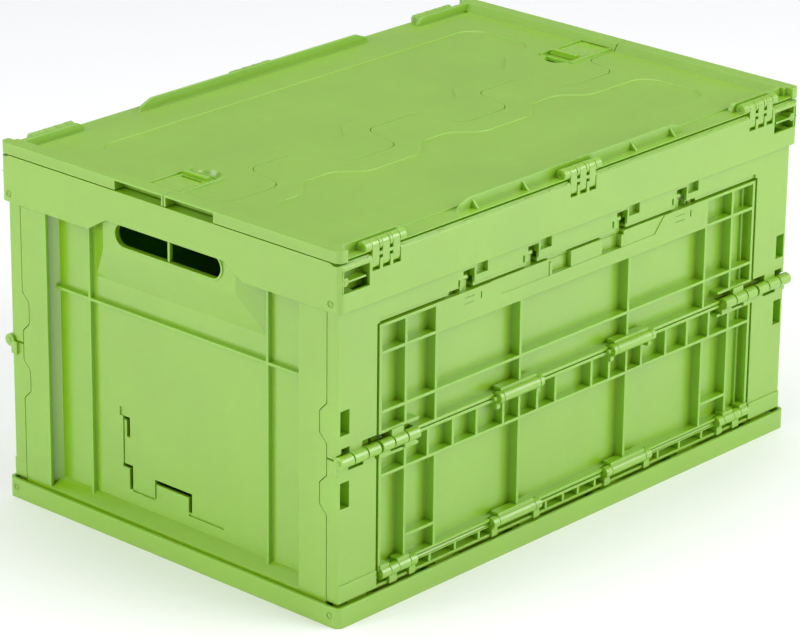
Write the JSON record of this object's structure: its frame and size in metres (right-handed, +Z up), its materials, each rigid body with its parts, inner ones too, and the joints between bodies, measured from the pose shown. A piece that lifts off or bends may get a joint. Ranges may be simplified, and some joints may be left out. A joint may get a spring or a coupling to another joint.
{
  "type": "collapsible storage crate",
  "caption": "Rectangular folding plastic crate with ribbed sides, folding access doors, hinged end walls with hand holes and a two-part lid with a wavy seam.",
  "frame": {"origin": "centre of the footprint, on the ground the base rests on", "axes": "+X along the long side, +Y along the short side towards the back, +Z up"},
  "size_m": [0.6, 0.4048, 0.332],
  "materials": {
    "frame_plastic": "satin moulded polypropylene, leaf green",
    "door_plastic": "satin moulded polypropylene, leaf green",
    "end_wall_plastic": "satin moulded polypropylene, leaf green",
    "lid_plastic": "satin moulded polypropylene with a fine grain, leaf green",
    "link_plastic": "smooth moulded polypropylene, leaf green",
    "latch_plastic": "smooth moulded polypropylene, leaf green",
    "hinge_pins": "plain moulded plastic pins, green"
  },
  "bodies": {
    "crate": {"base_tray": "frame_plastic", "base_hinge_rods": "hinge_pins", "top_hinge_rods": "hinge_pins", "side_mid_pins": "hinge_pins", "door_sill_pins": "hinge_pins", "top_frame": "frame_plastic", "end_wall_pins": "hinge_pins", "side_lower_frame_front": "frame_plastic", "side_lower_frame_back": "frame_plastic", "side_upper_frame_front": "frame_plastic", "side_upper_frame_back": "frame_plastic", "lid_link_ring_pins_front": "hinge_pins", "lid_link_ring_pins_back": "hinge_pins"},
    "door_lower_front": {"door_lower_front": "door_plastic", "door_mid_pins_front": "hinge_pins"},
    "door_upper_front": {"door_upper_front": "door_plastic"},
    "latch_bar_front_left": {"latch_bar_front_left": "latch_plastic"},
    "latch_bar_front_right": {"latch_bar_front_right": "latch_plastic"},
    "lid_links_front": {"lid_links_front": "link_plastic", "lid_link_lid_pins_front": "hinge_pins"},
    "lid_front": {"lid_front": "lid_plastic"},
    "door_lower_back": {"door_lower_back": "door_plastic", "door_mid_pins_back": "hinge_pins"},
    "door_upper_back": {"door_upper_back": "door_plastic"},
    "latch_bar_back_left": {"latch_bar_back_left": "latch_plastic"},
    "latch_bar_back_right": {"latch_bar_back_right": "latch_plastic"},
    "lid_links_back": {"lid_links_back": "link_plastic", "lid_link_lid_pins_back": "hinge_pins"},
    "lid_back": {"lid_back": "lid_plastic"},
    "lid_lock_left": {"lid_lock_left": "latch_plastic"},
    "end_wall_left": {"end_wall_left": "end_wall_plastic"},
    "lid_lock_right": {"lid_lock_right": "latch_plastic"},
    "end_wall_right": {"end_wall_right": "end_wall_plastic"}
  },
  "joints": [
    {"name": "door_lower_swing_front", "type": "hinge", "parent": "crate", "child": "door_lower_front", "pos_m": [0, -0.195, 0.0315], "axis": [1, 0, 0], "range_deg": [0, 90]},
    {"name": "door_upper_fold_front", "type": "hinge", "parent": "door_lower_front", "child": "door_upper_front", "pos_m": [0, -0.197, 0.147], "axis": [-1, 0, 0], "range_deg": [-165, 0]},
    {"name": "latch_slide_front_left", "type": "slide", "parent": "door_upper_front", "child": "latch_bar_front_left", "axis": [1, 0, 0], "range_m": [0, 0.008]},
    {"name": "latch_slide_front_right", "type": "slide", "parent": "door_upper_front", "child": "latch_bar_front_right", "axis": [-1, 0, 0], "range_m": [0, 0.008]},
    {"name": "lid_link_swing_front", "type": "hinge", "parent": "crate", "child": "lid_links_front", "pos_m": [0, -0.1945, 0.31], "axis": [1, 0, 0], "range_deg": [0, 90]},
    {"name": "lid_swing_front", "type": "hinge", "parent": "lid_links_front", "child": "lid_front", "pos_m": [0, -0.1945, 0.325], "axis": [1, 0, 0], "range_deg": [0, 180]},
    {"name": "door_lower_swing_back", "type": "hinge", "parent": "crate", "child": "door_lower_back", "pos_m": [0, 0.195, 0.0315], "axis": [-1, 0, 0], "range_deg": [0, 90]},
    {"name": "door_upper_fold_back", "type": "hinge", "parent": "door_lower_back", "child": "door_upper_back", "pos_m": [0, 0.197, 0.147], "axis": [1, 0, 0], "range_deg": [-165, 0]},
    {"name": "latch_slide_back_left", "type": "slide", "parent": "door_upper_back", "child": "latch_bar_back_left", "axis": [1, 0, 0], "range_m": [0, 0.008]},
    {"name": "latch_slide_back_right", "type": "slide", "parent": "door_upper_back", "child": "latch_bar_back_right", "axis": [-1, 0, 0], "range_m": [0, 0.008]},
    {"name": "lid_link_swing_back", "type": "hinge", "parent": "crate", "child": "lid_links_back", "pos_m": [0, 0.1945, 0.31], "axis": [-1, 0, 0], "range_deg": [0, 90]},
    {"name": "lid_swing_back", "type": "hinge", "parent": "lid_links_back", "child": "lid_back", "pos_m": [0, 0.1945, 0.325], "axis": [-1, 0, 0], "range_deg": [0, 180]},
    {"name": "lid_lock_slide_left", "type": "slide", "parent": "lid_back", "child": "lid_lock_left", "axis": [1, 0, 0], "range_m": [0, 0.008]},
    {"name": "end_wall_swing_left", "type": "hinge", "parent": "crate", "child": "end_wall_left", "pos_m": [-0.292, 0, 0.303], "axis": [0, -1, 0], "range_deg": [0, 88]},
    {"name": "lid_lock_slide_right", "type": "slide", "parent": "lid_back", "child": "lid_lock_right", "axis": [-1, 0, 0], "range_m": [0, 0.008]},
    {"name": "end_wall_swing_right", "type": "hinge", "parent": "crate", "child": "end_wall_right", "pos_m": [0.292, 0, 0.303], "axis": [0, 1, 0], "range_deg": [0, 88]}
  ]
}
